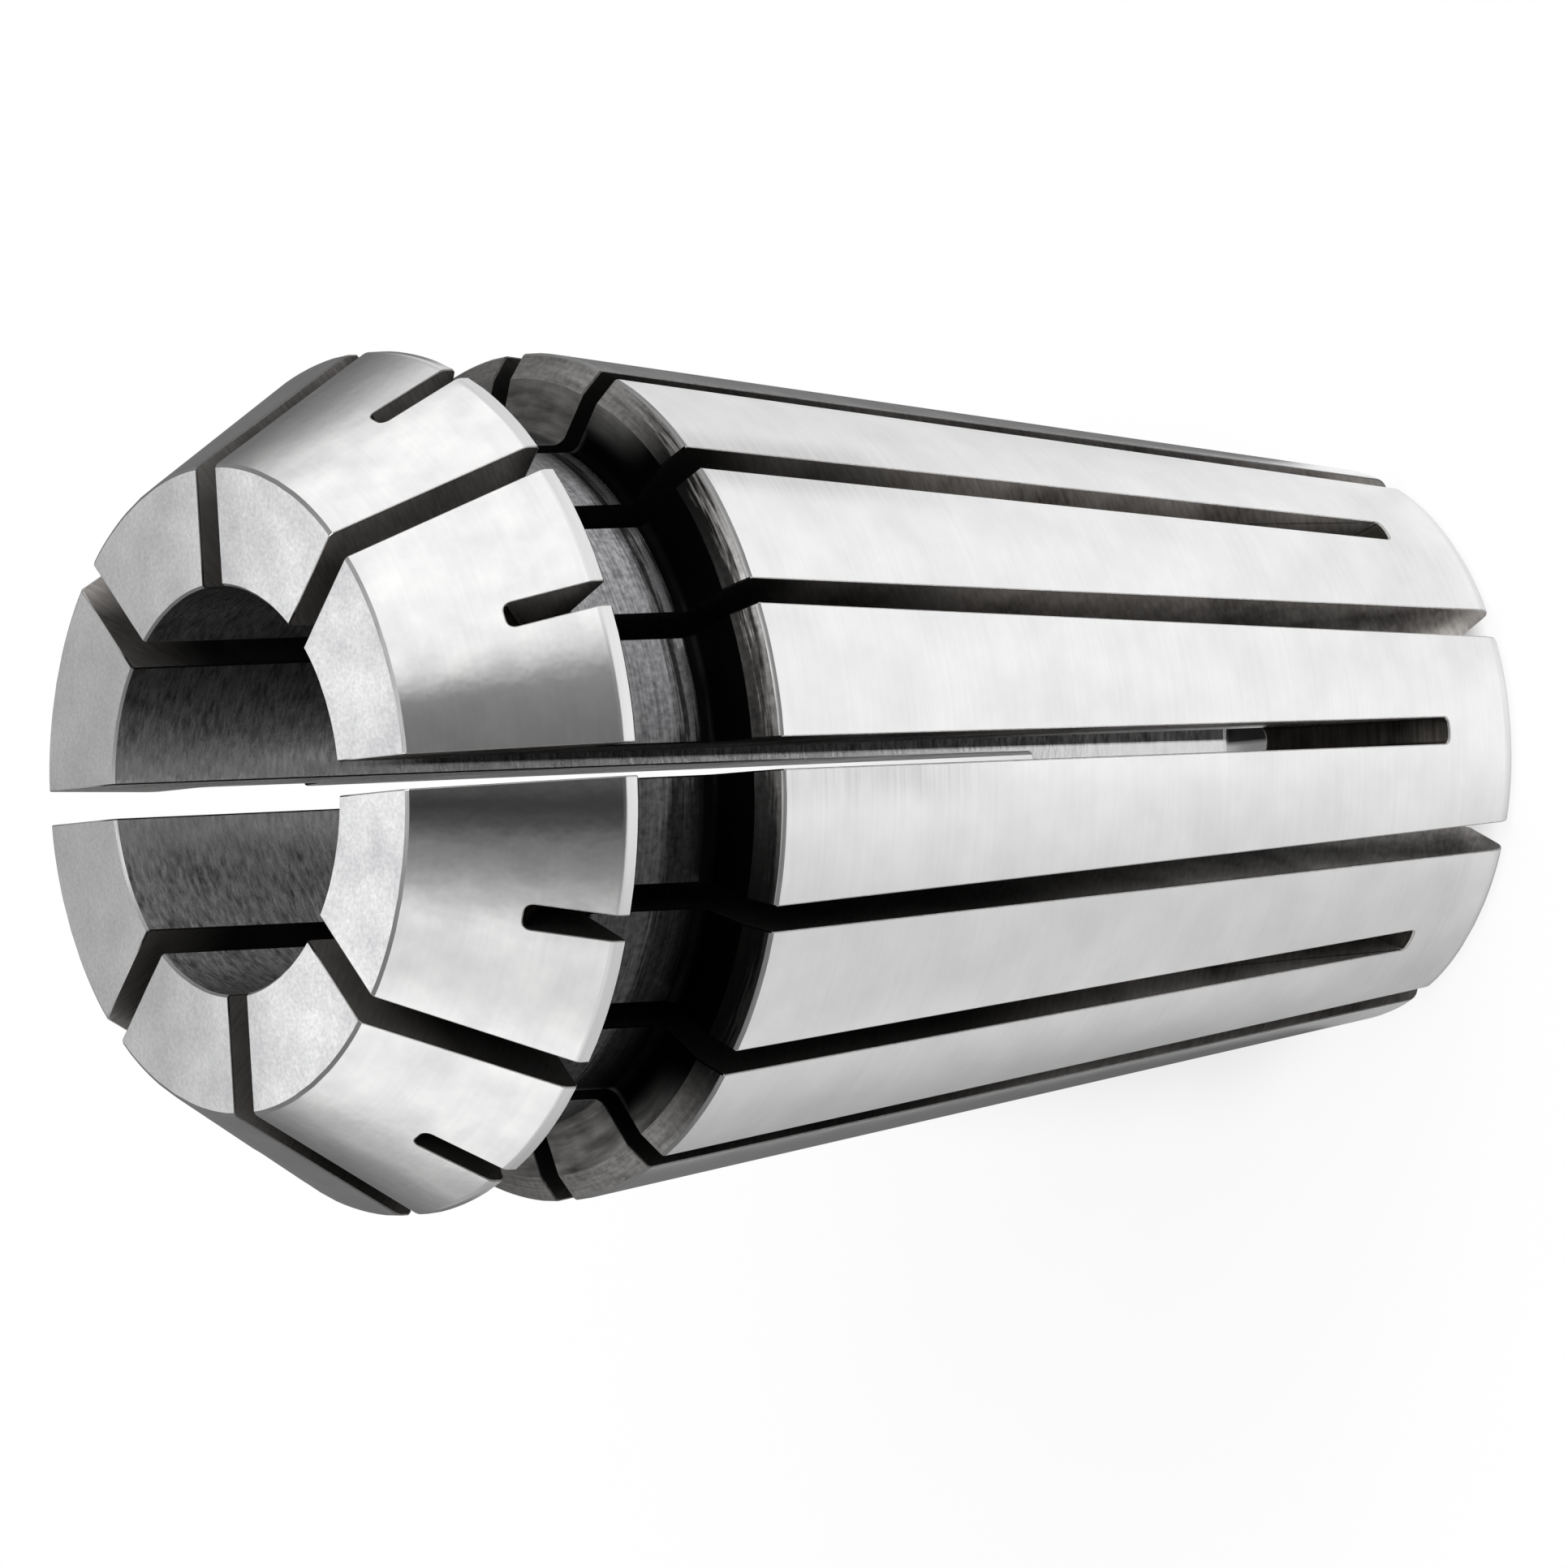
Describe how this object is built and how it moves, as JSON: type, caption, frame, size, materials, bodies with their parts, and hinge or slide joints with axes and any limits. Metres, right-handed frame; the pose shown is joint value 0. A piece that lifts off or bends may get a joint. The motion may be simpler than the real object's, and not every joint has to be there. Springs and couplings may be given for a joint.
{
  "type": "er collet",
  "caption": "One-piece slotted spring collet with a ground 8 degree taper, a 30 degree nose cone and an extraction groove; grips a round tool shank in a collet chuck.",
  "frame": {"origin": "centre of the rear end face, on the collet's axis", "axes": "+Z along the axis towards the nut face; the first front slot lies on +X and the slots repeat every 45 degrees"},
  "size_m": [0.017, 0.017, 0.0275],
  "materials": {
    "ground_steel": "hardened steel: finely ground taper and nose cone, satin nut face, turned groove, dark sawn slots and honed bore"
  },
  "bodies": {
    "root": {"collet": "ground_steel"}
  },
  "joints": []
}
